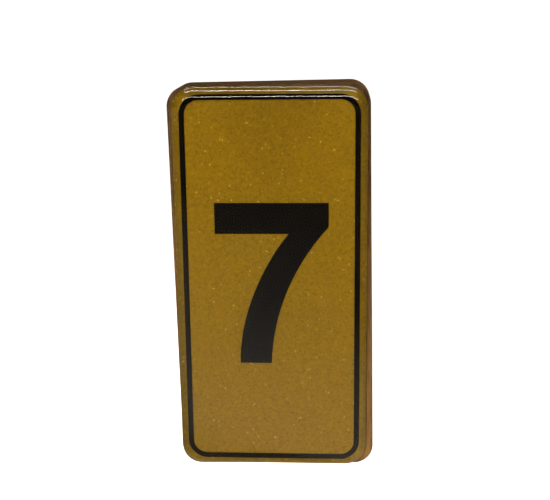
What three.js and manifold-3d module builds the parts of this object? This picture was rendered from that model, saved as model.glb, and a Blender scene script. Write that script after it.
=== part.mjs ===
// A free-standing table number: an upright varnished wood block that stands on its bottom edge and
// carries the same self-adhesive label on its front and on its rear. Each label is a sheet of
// adhesive, a gold film, a printed ink border, a printed numeral and a clear domed resin cover.
// Units are millimetres, +Z is up, the front faces -Y and the origin is at the middle of the base.

import * as THREE from "three";
import { mergeVertices } from "three/addons/utils/BufferGeometryUtils.js";
import Module from "manifold-3d";

const wasm = await Module();
wasm.setup();

// Wood block
const BLOCK_WIDTH = 50;
const BLOCK_HEIGHT = 99;
const BLOCK_THICKNESS = 12.75;
const BLOCK_CORNER_RADIUS = 5;
const EASED_EDGE = 0.4;

// Label outline, and how the label was laid on the block by hand
const LABEL_WIDTH = 48;
const LABEL_HEIGHT = 98.3;
const LABEL_CORNER_RADIUS = 5.5;
const LABEL_CENTRE_HEIGHT = 49.55;
const FRONT_LABEL_SHIFT = -0.3;
const FRONT_LABEL_TURN = THREE.MathUtils.degToRad(-0.8);
const REAR_LABEL_SHIFT = 0.1;
const REAR_LABEL_TURN = THREE.MathUtils.degToRad(0.3);

// Label layers, from the wood outwards
const ADHESIVE_THICKNESS = 0.125;
const FILM_THICKNESS = 0.25;
const INK_THICKNESS = 0.125;
const DOME_RIM = 0.375;
const DOME_RISE = 1.375;
const DOME_SHOULDER = 4.5;

// Printed border and numeral, which sit a little low on the label
const PRINT_SHIFT_Z = -0.2;
const BORDER_WIDTH = 44.2;
const BORDER_HEIGHT = 94.6;
const BORDER_LINE = 1.25;
const BORDER_CORNER_RADIUS = 4.7;
const NUMERAL_HEIGHT = 41.8;
const NUMERAL_WIDTH = 28.5;
const NUMERAL_BAR = 7.85;
const NUMERAL_TIP = 6.1;
const NUMERAL_FOOT = 8.05;
const NUMERAL_FOOT_START = 5.85;
const NUMERAL_SHIFT_X = 0.2;
const NUMERAL_SHIFT_Z = -0.25;

// Smoothness of arcs, curves and rounded edges
const ARC_STEPS = 6;
const NUMERAL_CURVE_STEPS = 20;
const EASED_EDGE_STEPS = 3;
const DOME_STEPS = 8;

const varnishedWood = new THREE.MeshStandardMaterial({ color: 0x6b3f22, roughness: 0.4, metalness: 0 });
const adhesive = new THREE.MeshStandardMaterial({ color: 0x9a8a66, roughness: 0.6, metalness: 0 });
const goldFilm = new THREE.MeshStandardMaterial({ color: 0x8f6c1a, roughness: 0.35, metalness: 0.8 });
const blackInk = new THREE.MeshStandardMaterial({ color: 0x1a1712, roughness: 0.4, metalness: 0 });
const clearResin = new THREE.MeshStandardMaterial({
  color: 0xfff7e0,
  roughness: 0.05,
  metalness: 0,
  transparent: true,
  opacity: 0.3,
});

// A rectangle with round corners, centred on the origin.
function roundedRectangle(width, height, radius) {
  const x = width / 2 - radius;
  const y = height / 2 - radius;
  const outline = new THREE.Shape();
  outline.absarc(x, y, radius, 0, Math.PI / 2);
  outline.absarc(-x, y, radius, Math.PI / 2, Math.PI);
  outline.absarc(-x, -y, radius, Math.PI, 1.5 * Math.PI);
  outline.absarc(x, -y, radius, 1.5 * Math.PI, 2 * Math.PI);
  return outline;
}

// A flat layer of the given outline, from z = 0 to z = thickness.
function layer(outline, thickness, curveSegments) {
  return new THREE.ExtrudeGeometry(outline, { depth: thickness, bevelEnabled: false, curveSegments });
}

function solidFrom(geometry) {
  const bare = geometry.clone();
  bare.deleteAttribute("normal");
  bare.deleteAttribute("uv");
  const merged = mergeVertices(bare);
  const vertProperties = new Float32Array(merged.attributes.position.array);
  const triVerts = new Uint32Array(merged.index.array);
  return new wasm.Manifold(new wasm.Mesh({ numProp: 3, vertProperties, triVerts }));
}

function geometryFrom(solid) {
  const mesh = solid.getMesh();
  const geometry = new THREE.BufferGeometry();
  geometry.setAttribute("position", new THREE.BufferAttribute(mesh.vertProperties, 3));
  geometry.setIndex(new THREE.BufferAttribute(mesh.triVerts, 1));
  geometry.computeVertexNormals();
  return geometry;
}

function namedMesh(name, geometry, material, height) {
  const mesh = new THREE.Mesh(geometry, material);
  mesh.name = name;
  mesh.position.z = height;
  return mesh;
}

// The block lies on its back in its own axes, with its middle plane at z = 0, and its group stands it up.
function woodBlock() {
  const flatDepth = BLOCK_THICKNESS - 2 * EASED_EDGE;
  const geometry = new THREE.ExtrudeGeometry(
    roundedRectangle(BLOCK_WIDTH, BLOCK_HEIGHT, BLOCK_CORNER_RADIUS),
    {
      depth: flatDepth,
      bevelThickness: EASED_EDGE,
      bevelSize: EASED_EDGE,
      bevelOffset: -EASED_EDGE,
      bevelSegments: EASED_EDGE_STEPS,
      curveSegments: ARC_STEPS,
    },
  );
  const group = new THREE.Group();
  group.add(namedMesh("wood_block", geometry, varnishedWood, -flatDepth / 2));
  group.rotation.x = Math.PI / 2;
  group.position.z = BLOCK_HEIGHT / 2;
  return group;
}

function borderOutline() {
  const outline = roundedRectangle(BORDER_WIDTH, BORDER_HEIGHT, BORDER_CORNER_RADIUS);
  const inner = roundedRectangle(
    BORDER_WIDTH - 2 * BORDER_LINE,
    BORDER_HEIGHT - 2 * BORDER_LINE,
    BORDER_CORNER_RADIUS - BORDER_LINE,
  );
  outline.holes.push(inner);
  return outline;
}

// A bold seven: a level bar, then a stem that sweeps down to a flat foot between two curves.
function numeralOutline() {
  const right = NUMERAL_WIDTH / 2;
  const top = NUMERAL_HEIGHT / 2;
  const barUnderside = top - NUMERAL_BAR;
  const footLeft = NUMERAL_FOOT_START - right;
  const footRight = footLeft + NUMERAL_FOOT;
  const outline = new THREE.Shape();
  outline.moveTo(-right, top);
  outline.lineTo(-right, barUnderside);
  outline.lineTo(4.3, barUnderside);
  outline.bezierCurveTo(-1.7, 5.9, footLeft, -7.4, footLeft, -top);
  outline.lineTo(footRight, -top);
  outline.bezierCurveTo(0.35, -3.5, 8.4, 8.3, right, top - NUMERAL_TIP);
  outline.lineTo(right, top);
  return outline;
}

// The clear cover is flat underneath, with a short upright rim and a shoulder that rounds to a level
// top. It is the upper half of a slab that is rounded on both faces.
function resinDome() {
  const slab = new THREE.ExtrudeGeometry(
    roundedRectangle(LABEL_WIDTH, LABEL_HEIGHT, LABEL_CORNER_RADIUS),
    {
      depth: 2 * DOME_RIM,
      bevelThickness: DOME_RISE,
      bevelSize: DOME_SHOULDER,
      bevelOffset: -DOME_SHOULDER,
      bevelSegments: DOME_STEPS,
      curveSegments: ARC_STEPS,
    },
  );
  slab.translate(0, 0, -DOME_RIM);
  const cutterDepth = 2 * (DOME_RIM + DOME_RISE);
  const cutter = new THREE.BoxGeometry(2 * LABEL_WIDTH, 2 * LABEL_HEIGHT, cutterDepth);
  cutter.translate(0, 0, -cutterDepth / 2);
  return geometryFrom(solidFrom(slab).subtract(solidFrom(cutter)));
}

// One label in its own axes: x to its right, y up, z away from the wood, z = 0 at the block's middle.
function label(side) {
  const filmHeight = BLOCK_THICKNESS / 2 + ADHESIVE_THICKNESS;
  const inkHeight = filmHeight + FILM_THICKNESS;
  const domeHeight = inkHeight + INK_THICKNESS;
  const outline = roundedRectangle(LABEL_WIDTH, LABEL_HEIGHT, LABEL_CORNER_RADIUS);
  const adhesiveSheet = layer(outline, ADHESIVE_THICKNESS, ARC_STEPS);
  const filmSheet = layer(outline, FILM_THICKNESS, ARC_STEPS);
  const borderLayer = layer(borderOutline(), INK_THICKNESS, ARC_STEPS);
  const numeralLayer = layer(numeralOutline(), INK_THICKNESS, NUMERAL_CURVE_STEPS);
  borderLayer.translate(0, PRINT_SHIFT_Z, 0);
  numeralLayer.translate(NUMERAL_SHIFT_X, PRINT_SHIFT_Z + NUMERAL_SHIFT_Z, 0);

  const group = new THREE.Group();
  group.add(namedMesh(side + "_adhesive_sheet", adhesiveSheet, adhesive, BLOCK_THICKNESS / 2));
  group.add(namedMesh(side + "_gold_film", filmSheet, goldFilm, filmHeight));
  group.add(namedMesh(side + "_ink_border", borderLayer, blackInk, inkHeight));
  group.add(namedMesh(side + "_ink_numeral", numeralLayer, blackInk, inkHeight));
  group.add(namedMesh(side + "_resin_dome", resinDome(), clearResin, domeHeight));
  return group;
}

function frontLabel() {
  const group = label("front");
  group.rotation.set(Math.PI / 2, 0, FRONT_LABEL_TURN);
  group.position.set(FRONT_LABEL_SHIFT, 0, LABEL_CENTRE_HEIGHT);
  return group;
}

function rearLabel() {
  const group = label("rear");
  group.rotation.set(Math.PI / 2, Math.PI, REAR_LABEL_TURN);
  group.position.set(REAR_LABEL_SHIFT, 0, LABEL_CENTRE_HEIGHT);
  return group;
}

const tableNumber = new THREE.Group();
tableNumber.add(woodBlock(), frontLabel(), rearLabel());

export default tableNumber;
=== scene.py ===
from math import cos, radians, sin

import bmesh
import bpy
from mathutils import Matrix, Quaternion, Vector

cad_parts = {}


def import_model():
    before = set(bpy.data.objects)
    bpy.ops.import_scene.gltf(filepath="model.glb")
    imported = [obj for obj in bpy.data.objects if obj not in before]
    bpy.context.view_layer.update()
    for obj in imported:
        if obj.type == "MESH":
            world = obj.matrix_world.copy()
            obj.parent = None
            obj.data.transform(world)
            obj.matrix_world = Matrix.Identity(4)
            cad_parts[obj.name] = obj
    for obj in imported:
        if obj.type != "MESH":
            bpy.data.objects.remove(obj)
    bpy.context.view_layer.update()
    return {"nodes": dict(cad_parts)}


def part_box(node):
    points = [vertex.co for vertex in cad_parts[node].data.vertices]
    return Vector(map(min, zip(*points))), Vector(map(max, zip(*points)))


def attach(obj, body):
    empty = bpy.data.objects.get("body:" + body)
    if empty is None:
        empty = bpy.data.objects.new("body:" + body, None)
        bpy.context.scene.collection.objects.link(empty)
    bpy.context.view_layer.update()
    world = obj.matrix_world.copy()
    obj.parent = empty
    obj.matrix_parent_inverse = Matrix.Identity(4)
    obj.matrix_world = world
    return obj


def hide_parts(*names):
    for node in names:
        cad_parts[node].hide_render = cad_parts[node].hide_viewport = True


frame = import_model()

# ---- Wood block --------------------------------------------------------------------------------
# A block of half-inch hardwood board, sawn a little larger than its labels, its corners rounded and
# its edges eased with sandpaper. It is stained reddish brown and varnished, and stands on its end.

BLOCK_CORNER_RADIUS = 0.005
BLOCK_CORNER_STEPS = 20
EASED_EDGE = 0.0004
EASED_EDGE_STEPS = 5
SHARP_ANGLE = radians(60)


def piece_from(bm, name, material):
    bmesh.ops.recalc_face_normals(bm, faces=bm.faces)
    if bm.calc_volume(signed=True) < 0:
        bmesh.ops.reverse_faces(bm, faces=bm.faces)
    mesh = bpy.data.meshes.new(name)
    bm.to_mesh(mesh)
    bm.free()
    mesh.shade_smooth()
    mesh.materials.append(material)
    piece = bpy.data.objects.new(name, mesh)
    bpy.context.scene.collection.objects.link(piece)
    even_shading = piece.modifiers.new("even_shading", "WEIGHTED_NORMAL")
    even_shading.keep_sharp = True
    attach(piece, "root")
    return piece


def new_material(name):
    material = bpy.data.materials.new(name)
    material.use_nodes = True
    nodes = material.node_tree.nodes
    links = material.node_tree.links
    return material, nodes, links, nodes["Principled BSDF"]


def stretched_coordinates(nodes, links, scale):
    place = nodes.new("ShaderNodeTexCoord")
    mapping = nodes.new("ShaderNodeMapping")
    mapping.inputs["Scale"].default_value = scale
    links.new(place.outputs["Object"], mapping.inputs["Vector"])
    return mapping.outputs["Vector"]


def noise(nodes, links, vector, scale, detail=4.0, roughness=0.55, distortion=0.0):
    texture = nodes.new("ShaderNodeTexNoise")
    texture.inputs["Scale"].default_value = scale
    texture.inputs["Detail"].default_value = detail
    texture.inputs["Roughness"].default_value = roughness
    texture.inputs["Distortion"].default_value = distortion
    links.new(vector, texture.inputs["Vector"])
    return texture.outputs["Fac"]


def ramp(nodes, links, value, stops):
    band = nodes.new("ShaderNodeValToRGB")
    elements = band.color_ramp.elements
    while len(elements) < len(stops):
        elements.new(0.5)
    for element, (position, color) in zip(elements, stops):
        element.position = position
        element.color = (*color, 1.0)
    links.new(value, band.inputs["Fac"])
    return band.outputs["Color"]


def bump(nodes, links, height, strength, distance):
    node = nodes.new("ShaderNodeBump")
    node.inputs["Strength"].default_value = strength
    node.inputs["Distance"].default_value = distance
    links.new(height, node.inputs["Height"])
    return node.outputs["Normal"]


def multiplied(nodes, links, first, second, factor=1.0):
    product = nodes.new("ShaderNodeMix")
    product.data_type = "RGBA"
    product.blend_type = "MULTIPLY"
    product.inputs["Factor"].default_value = factor
    links.new(first, product.inputs["A"])
    links.new(second, product.inputs["B"])
    return product.outputs["Result"]


def varnished_wood():
    material, nodes, links, shader = new_material("varnished_wood")
    grain_space = stretched_coordinates(nodes, links, (1.0, 1.0, 0.06))
    figure = noise(nodes, links, grain_space, 420.0, detail=5.0, distortion=0.6)
    figure_color = ramp(
        nodes,
        links,
        figure,
        [(0.25, (0.08, 0.039, 0.01)), (0.5, (0.16, 0.075, 0.016)), (0.8, (0.25, 0.12, 0.026))],
    )
    pores = noise(nodes, links, grain_space, 2600.0, detail=2.0)
    pore_color = ramp(nodes, links, pores, [(0.35, (0.45, 0.4, 0.38)), (0.5, (1.0, 1.0, 1.0))])
    stained = multiplied(nodes, links, figure_color, pore_color, 0.8)
    links.new(stained, shader.inputs["Base Color"])
    shader.inputs["Roughness"].default_value = 0.5
    shader.inputs["Specular IOR Level"].default_value = 0.15
    shader.inputs["Coat Weight"].default_value = 0.12
    shader.inputs["Coat Roughness"].default_value = 0.3
    links.new(bump(nodes, links, pores, 0.25, 0.00006), shader.inputs["Normal"])
    return material


def wood_block():
    low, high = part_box("wood_block")
    size = high - low
    bm = bmesh.new()
    middle = Matrix.Translation((low + high) / 2)
    bmesh.ops.create_cube(bm, size=1.0, matrix=middle @ Matrix.Diagonal((*size, 1.0)))
    corners = [e for e in bm.edges if abs(e.verts[0].co.y - e.verts[1].co.y) > size.y / 2]
    bmesh.ops.bevel(
        bm,
        geom=corners,
        offset=BLOCK_CORNER_RADIUS,
        segments=BLOCK_CORNER_STEPS,
        profile=0.5,
        affect="EDGES",
        material=-1,
    )
    rims = [e for e in bm.edges if e.calc_face_angle() > SHARP_ANGLE]
    bmesh.ops.bevel(
        bm,
        geom=rims,
        offset=EASED_EDGE,
        segments=EASED_EDGE_STEPS,
        profile=0.5,
        affect="EDGES",
        material=-1,
    )
    block = piece_from(bm, "wood_block_finished", varnished_wood())
    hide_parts("wood_block")


wood_block()

# ---- Adhesive sheets ---------------------------------------------------------------------------
# A thin sheet of clear pressure-sensitive adhesive on the back of each label holds it on the
# varnish. Only its cut edge shows, as a dull amber line.


def label_adhesive():
    material, nodes, links, shader = new_material("label_adhesive")
    space = stretched_coordinates(nodes, links, (1.0, 1.0, 1.0))
    cloud = noise(nodes, links, space, 900.0)
    links.new(
        ramp(nodes, links, cloud, [(0.3, (0.14, 0.1, 0.05)), (0.7, (0.24, 0.18, 0.1))]),
        shader.inputs["Base Color"],
    )
    shader.inputs["Roughness"].default_value = 0.55
    return material


def finish_nodes(nodes_to_finish, material):
    for name in nodes_to_finish:
        mesh = frame["nodes"][name].data
        mesh.materials.clear()
        mesh.materials.append(material)


finish_nodes(["front_adhesive_sheet", "rear_adhesive_sheet"], label_adhesive())

# ---- Gold film ---------------------------------------------------------------------------------
# Metallic gold film, the label's face. Fine metal flakes lie in its lacquer, so it glitters a
# little and its colour varies slightly from place to place.

LABEL_WIDTH = 0.048
LABEL_HEIGHT = 0.0983
FRONT_LABEL_SHIFT = -0.0003
LABEL_CENTRE_HEIGHT = 0.04955
# Painted shade: how far in from the film's edge its colour is darkened.
PAINTED_RIM_SHADE_REACH = 0.005
GOLD_DARK = (0.34, 0.198, 0.003)
GOLD = (0.48, 0.282, 0.004)
GOLD_BRIGHT = (0.95, 0.65, 0.12)
FLAKES_PER_METRE = 3000.0


def calculated(nodes, links, operation, first, second=None):
    """A Math node. Each value is a socket to link, or a number to set."""
    step = nodes.new("ShaderNodeMath")
    step.operation = operation
    for value, socket in zip((first, second), step.inputs):
        if isinstance(value, bpy.types.NodeSocket):
            links.new(value, socket)
        elif value is not None:
            socket.default_value = value
    return step.outputs["Value"]


def distance_to_edge(nodes, links, coordinate, middle, size):
    offset = calculated(nodes, links, "SUBTRACT", coordinate, middle)
    return calculated(nodes, links, "SUBTRACT", size / 2, calculated(nodes, links, "ABSOLUTE", offset))


def painted_rim_shade(nodes, links, space):
    """Painted shade: film colour darker near its edge, where the resin's sloping rim bends light away.

    Both films are shaded from the front label's place, which is 0.4 mm off on the rear one.
    """
    place = nodes.new("ShaderNodeSeparateXYZ")
    links.new(space, place.inputs["Vector"])
    to_side = distance_to_edge(nodes, links, place.outputs["X"], FRONT_LABEL_SHIFT, LABEL_WIDTH)
    to_end = distance_to_edge(nodes, links, place.outputs["Z"], LABEL_CENTRE_HEIGHT, LABEL_HEIGHT)
    nearest = calculated(nodes, links, "MINIMUM", to_side, to_end)
    return ramp(
        nodes,
        links,
        calculated(nodes, links, "MULTIPLY", nearest, 1 / PAINTED_RIM_SHADE_REACH),
        [(0.0, (0.5, 0.52, 0.9)), (0.38, (0.74, 0.76, 1.0)), (0.6, (1.0, 1.0, 1.0))],
    )


def gold_film():
    material, nodes, links, shader = new_material("gold_film")
    space = stretched_coordinates(nodes, links, (1.0, 1.0, 1.0))
    flakes = nodes.new("ShaderNodeTexVoronoi")
    flakes.inputs["Scale"].default_value = FLAKES_PER_METRE
    links.new(space, flakes.inputs["Vector"])
    flake_value = nodes.new("ShaderNodeSeparateColor")
    links.new(flakes.outputs["Color"], flake_value.inputs["Color"])
    flake_color = ramp(
        nodes,
        links,
        flake_value.outputs["Red"],
        [(0.0, GOLD_DARK), (0.5, GOLD), (0.992, GOLD), (1.0, GOLD_BRIGHT)],
    )
    cloud = noise(nodes, links, space, 1400.0, detail=6.0, roughness=0.8)
    cloud_color = ramp(nodes, links, cloud, [(0.38, (0.74, 0.74, 0.68)), (0.62, (1.0, 1.0, 1.0))])
    mottled = multiplied(nodes, links, flake_color, cloud_color)
    # Painted shade: the film's colour is darkened towards its edge.
    shaded = multiplied(nodes, links, mottled, painted_rim_shade(nodes, links, space))
    links.new(shaded, shader.inputs["Base Color"])
    shader.inputs["Metallic"].default_value = 0.25
    shader.inputs["Roughness"].default_value = 0.5
    shader.inputs["Specular IOR Level"].default_value = 0.1
    links.new(
        bump(nodes, links, flake_value.outputs["Green"], 0.15, 0.00004), shader.inputs["Normal"]
    )
    return material


finish_nodes(["front_gold_film", "rear_gold_film"], gold_film())

# ---- Printed ink -------------------------------------------------------------------------------
# The border line and the numeral are printed on the film in dense black ink, before the resin is
# poured.


def black_ink():
    material, nodes, links, shader = new_material("black_ink")
    space = stretched_coordinates(nodes, links, (1.0, 1.0, 1.0))
    cloud = noise(nodes, links, space, 1500.0)
    links.new(
        ramp(nodes, links, cloud, [(0.3, (0.006, 0.004, 0.003)), (0.7, (0.01, 0.007, 0.004))]),
        shader.inputs["Base Color"],
    )
    shader.inputs["Roughness"].default_value = 0.6
    shader.inputs["Specular IOR Level"].default_value = 0.0
    return material


finish_nodes(
    ["front_ink_border", "front_ink_numeral", "rear_ink_border", "rear_ink_numeral"], black_ink()
)

# ---- Resin domes -------------------------------------------------------------------------------
# Clear polyurethane poured over each label. It runs to the film's cut edge, stops there by its
# surface tension and sets as a shallow dome: steep at the rim, then level.

LABEL_CORNER_RADIUS = 0.0055
LABEL_CORNER_STEPS = 24
LABEL_TURN = {"front": radians(-0.8), "rear": radians(0.3)}
RESIN_OVERLAP = 0.00001
RIM_WALL = 0.0004
RIM_WIDTH = 0.0053
RIM_RINGS = 30


def clear_resin():
    material, nodes, links, shader = new_material("clear_resin")
    space = stretched_coordinates(nodes, links, (1.0, 1.0, 1.0))
    waves = noise(nodes, links, space, 60.0, detail=1.0)
    shader.inputs["Base Color"].default_value = (1.0, 0.985, 0.95, 1.0)
    shader.inputs["Roughness"].default_value = 0.02
    shader.inputs["IOR"].default_value = 1.49
    shader.inputs["Transmission Weight"].default_value = 1.0
    links.new(bump(nodes, links, waves, 0.006, 0.0002), shader.inputs["Normal"])
    passing = nodes.new("ShaderNodeBsdfTransparent")
    passing.inputs["Color"].default_value = (0.93, 0.91, 0.86, 1.0)
    path = nodes.new("ShaderNodeLightPath")
    mixed = nodes.new("ShaderNodeMixShader")
    links.new(path.outputs["Is Shadow Ray"], mixed.inputs["Fac"])
    links.new(shader.outputs["BSDF"], mixed.inputs[1])
    links.new(passing.outputs["BSDF"], mixed.inputs[2])
    links.new(mixed.outputs["Shader"], nodes["Material Output"].inputs["Surface"])
    return material


def label_place(side):
    """The label's own axes: x to its right, y up, z outwards, from the middle of the film's face."""
    low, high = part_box(side + "_gold_film")
    middle = (low + high) / 2
    middle.y = low.y if side == "front" else high.y
    facing = Matrix.Rotation(radians(90), 4, "X")
    if side == "rear":
        facing = facing @ Matrix.Rotation(radians(180), 4, "Y")
    return Matrix.Translation(middle) @ facing @ Matrix.Rotation(LABEL_TURN[side], 4, "Z")


def rounded_face(bm, width, height, radius, steps):
    shape = Matrix.Diagonal((width, height, 1.0, 1.0))
    bmesh.ops.create_grid(bm, x_segments=1, y_segments=1, size=0.5, matrix=shape)
    bmesh.ops.bevel(
        bm,
        geom=list(bm.verts),
        offset=radius,
        segments=steps,
        profile=0.5,
        affect="VERTICES",
        material=-1,
    )
    return bm.faces[:][0]


def share_of_rise(distance, reach):
    """A side view of the poured resin: steep at its edge, level once it is the reach away."""
    return 1 - (1 - min(distance / reach, 1)) ** 4


def resin_dome(side, material):
    low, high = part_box(side + "_resin_dome")
    place = label_place(side)
    top_y = low.y if side == "front" else high.y
    rise = abs(top_y - place.translation.y) - RIM_WALL
    bm = bmesh.new()
    face = rounded_face(bm, LABEL_WIDTH, LABEL_HEIGHT, LABEL_CORNER_RADIUS, LABEL_CORNER_STEPS)
    bmesh.ops.translate(bm, verts=bm.verts, vec=(0, 0, -RESIN_OVERLAP))
    raised = bmesh.ops.extrude_face_region(bm, geom=[face])["geom"]
    top = next(g for g in raised if isinstance(g, bmesh.types.BMFace))
    bmesh.ops.translate(bm, verts=top.verts, vec=(0, 0, RESIN_OVERLAP + RIM_WALL))
    inset_before = 0.0
    for ring in range(1, RIM_RINGS + 1):
        inset = RIM_WIDTH * (ring / RIM_RINGS) ** 1.5
        bmesh.ops.inset_region(
            bm,
            faces=[top],
            thickness=inset - inset_before,
            use_boundary=True,
            use_even_offset=True,
        )
        for vert in top.verts:
            vert.co.z = RIM_WALL + rise * share_of_rise(inset, RIM_WIDTH)
        inset_before = inset
    bm.transform(place)
    dome = piece_from(bm, side + "_resin_dome_poured", material)
    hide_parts(side + "_resin_dome")


resin = clear_resin()
for side in ("front", "rear"):
    resin_dome(side, resin)

# ---- Stage -------------------------------------------------------------------------------------
# A plain white table top, left dark in front of the object, so that the label's gloss stays clear. A
# tall soft panel and three small soft lights light the object, and three narrow strips draw the
# bright lines along the dome's upper rim.

FLOOR_SIZE = 8.0
PANEL_Y = -0.13
LAMP_COLOR = (1.0, 0.97, 0.9)
STRIP_COLOR = (1.0, 0.92, 0.79)


def white_to_the_camera(nodes, links, shader_output, strength):
    """Adds a steady white to what the camera sees of the stage, and nothing to what lights the object."""
    path = nodes.new("ShaderNodeLightPath")
    glow = nodes.new("ShaderNodeEmission")
    glow.inputs["Strength"].default_value = strength
    both = nodes.new("ShaderNodeAddShader")
    seen = nodes.new("ShaderNodeMixShader")
    links.new(shader_output, both.inputs[0])
    links.new(glow.outputs["Emission"], both.inputs[1])
    links.new(path.outputs["Is Camera Ray"], seen.inputs["Fac"])
    links.new(shader_output, seen.inputs[1])
    links.new(both.outputs["Shader"], seen.inputs[2])
    return seen.outputs["Shader"]


def floor():
    material, nodes, links, shader = new_material("pale_floor")
    space = stretched_coordinates(nodes, links, (1.0, 1.0, 1.0))
    cloud = noise(nodes, links, space, 3.0)
    links.new(
        ramp(nodes, links, cloud, [(0.3, (0.76, 0.76, 0.75)), (0.7, (0.79, 0.79, 0.785))]),
        shader.inputs["Base Color"],
    )
    shader.inputs["Roughness"].default_value = 0.8
    shader.inputs["Specular IOR Level"].default_value = 0.0
    surface = nodes["Material Output"].inputs["Surface"]
    links.new(white_to_the_camera(nodes, links, shader.outputs["BSDF"], 1.0), surface)
    bm = bmesh.new()
    bmesh.ops.create_grid(bm, x_segments=1, y_segments=1, size=FLOOR_SIZE / 2)
    mesh = bpy.data.meshes.new("floor")
    bm.to_mesh(mesh)
    bm.free()
    mesh.materials.append(material)
    plane = bpy.data.objects.new("floor", mesh)
    bpy.context.scene.collection.objects.link(plane)


def aimed(place, target, roll=0.0):
    turn = (Vector(target) - Vector(place)).to_track_quat("-Z", "Y")
    return turn @ Quaternion((0, 0, 1), roll)


def area_light(name, place, target, size, watts, color, mirrored, spread=radians(180)):
    data = bpy.data.lights.new(name, "AREA")
    data.shape = "RECTANGLE"
    data.size, data.size_y = size
    data.energy = watts
    data.color = color
    data.spread = spread
    light = bpy.data.objects.new(name, data)
    light.location = place
    light.rotation_mode = "QUATERNION"
    light.rotation_quaternion = aimed(place, target)
    light.visible_camera = False
    light.visible_glossy = mirrored
    light.visible_diffuse = not mirrored
    light.visible_transmission = False
    bpy.context.scene.collection.objects.link(light)


def soft_lamp(name, place, target, size, watts, spread=radians(180)):
    """Lights the object without an image of itself in the gloss."""
    area_light(name, place, target, size, watts, LAMP_COLOR, False, spread)


def rim_strip(name, elevation, distance, size, watts):
    """A narrow strip in front, at the given elevation above the label's upper edge."""
    upper_edge = Vector((0, -0.007, 0.098))
    place = upper_edge + distance * Vector((0, -cos(elevation), sin(elevation)))
    area_light(name, place, upper_edge, size, watts, STRIP_COLOR, True)


def camera():
    data = bpy.data.cameras.new("camera")
    data.lens = 69.376
    data.clip_start = 0.01
    view = bpy.data.objects.new("camera", data)
    view.location = (0.01794, -0.26486, 0.11954)
    view.rotation_mode = "QUATERNION"
    view.rotation_quaternion = aimed(view.location, (0.000759, -0.006375, 0.057756), radians(-1.515))
    bpy.context.scene.collection.objects.link(view)
    bpy.context.scene.camera = view


def world():
    sky = bpy.data.worlds.new("studio")
    sky.use_nodes = True
    nodes = sky.node_tree.nodes
    links = sky.node_tree.links
    background = nodes["Background"]
    background.inputs["Color"].default_value = (1.0, 0.98, 0.95, 1.0)
    background.inputs["Strength"].default_value = 0.04
    surface = nodes["World Output"].inputs["Surface"]
    links.new(white_to_the_camera(nodes, links, background.outputs["Background"], 1.0), surface)
    bpy.context.scene.world = sky


floor()
soft_lamp("front_panel", (-0.25, PANEL_Y, 1.0), (-0.25, 1.0, 1.0), (2.0, 1.3), 7.0)
soft_lamp("key", (-0.26, -0.24, 0.16), (0, 0, 0.06), (0.2, 0.14), 0.2)
soft_lamp("base_glow", (-0.12, -0.38, 0.13), (0, -0.007, 0.0), (0.14, 0.14), 0.085, radians(20))
soft_lamp("right_fill", (0.3, 0.1, 0.2), (0.025, 0, 0.05), (0.12, 0.1), 0.07, radians(30))
rim_strip("low_strip", radians(15.5), 1.0, (1.2, 0.05), 4.0)
rim_strip("middle_strip", radians(56.0), 0.9, (1.2, 0.06), 8.0)
rim_strip("high_strip", radians(84.0), 0.9, (1.2, 0.06), 3.0)
camera()
world()
bpy.context.scene.view_settings.view_transform = "Standard"
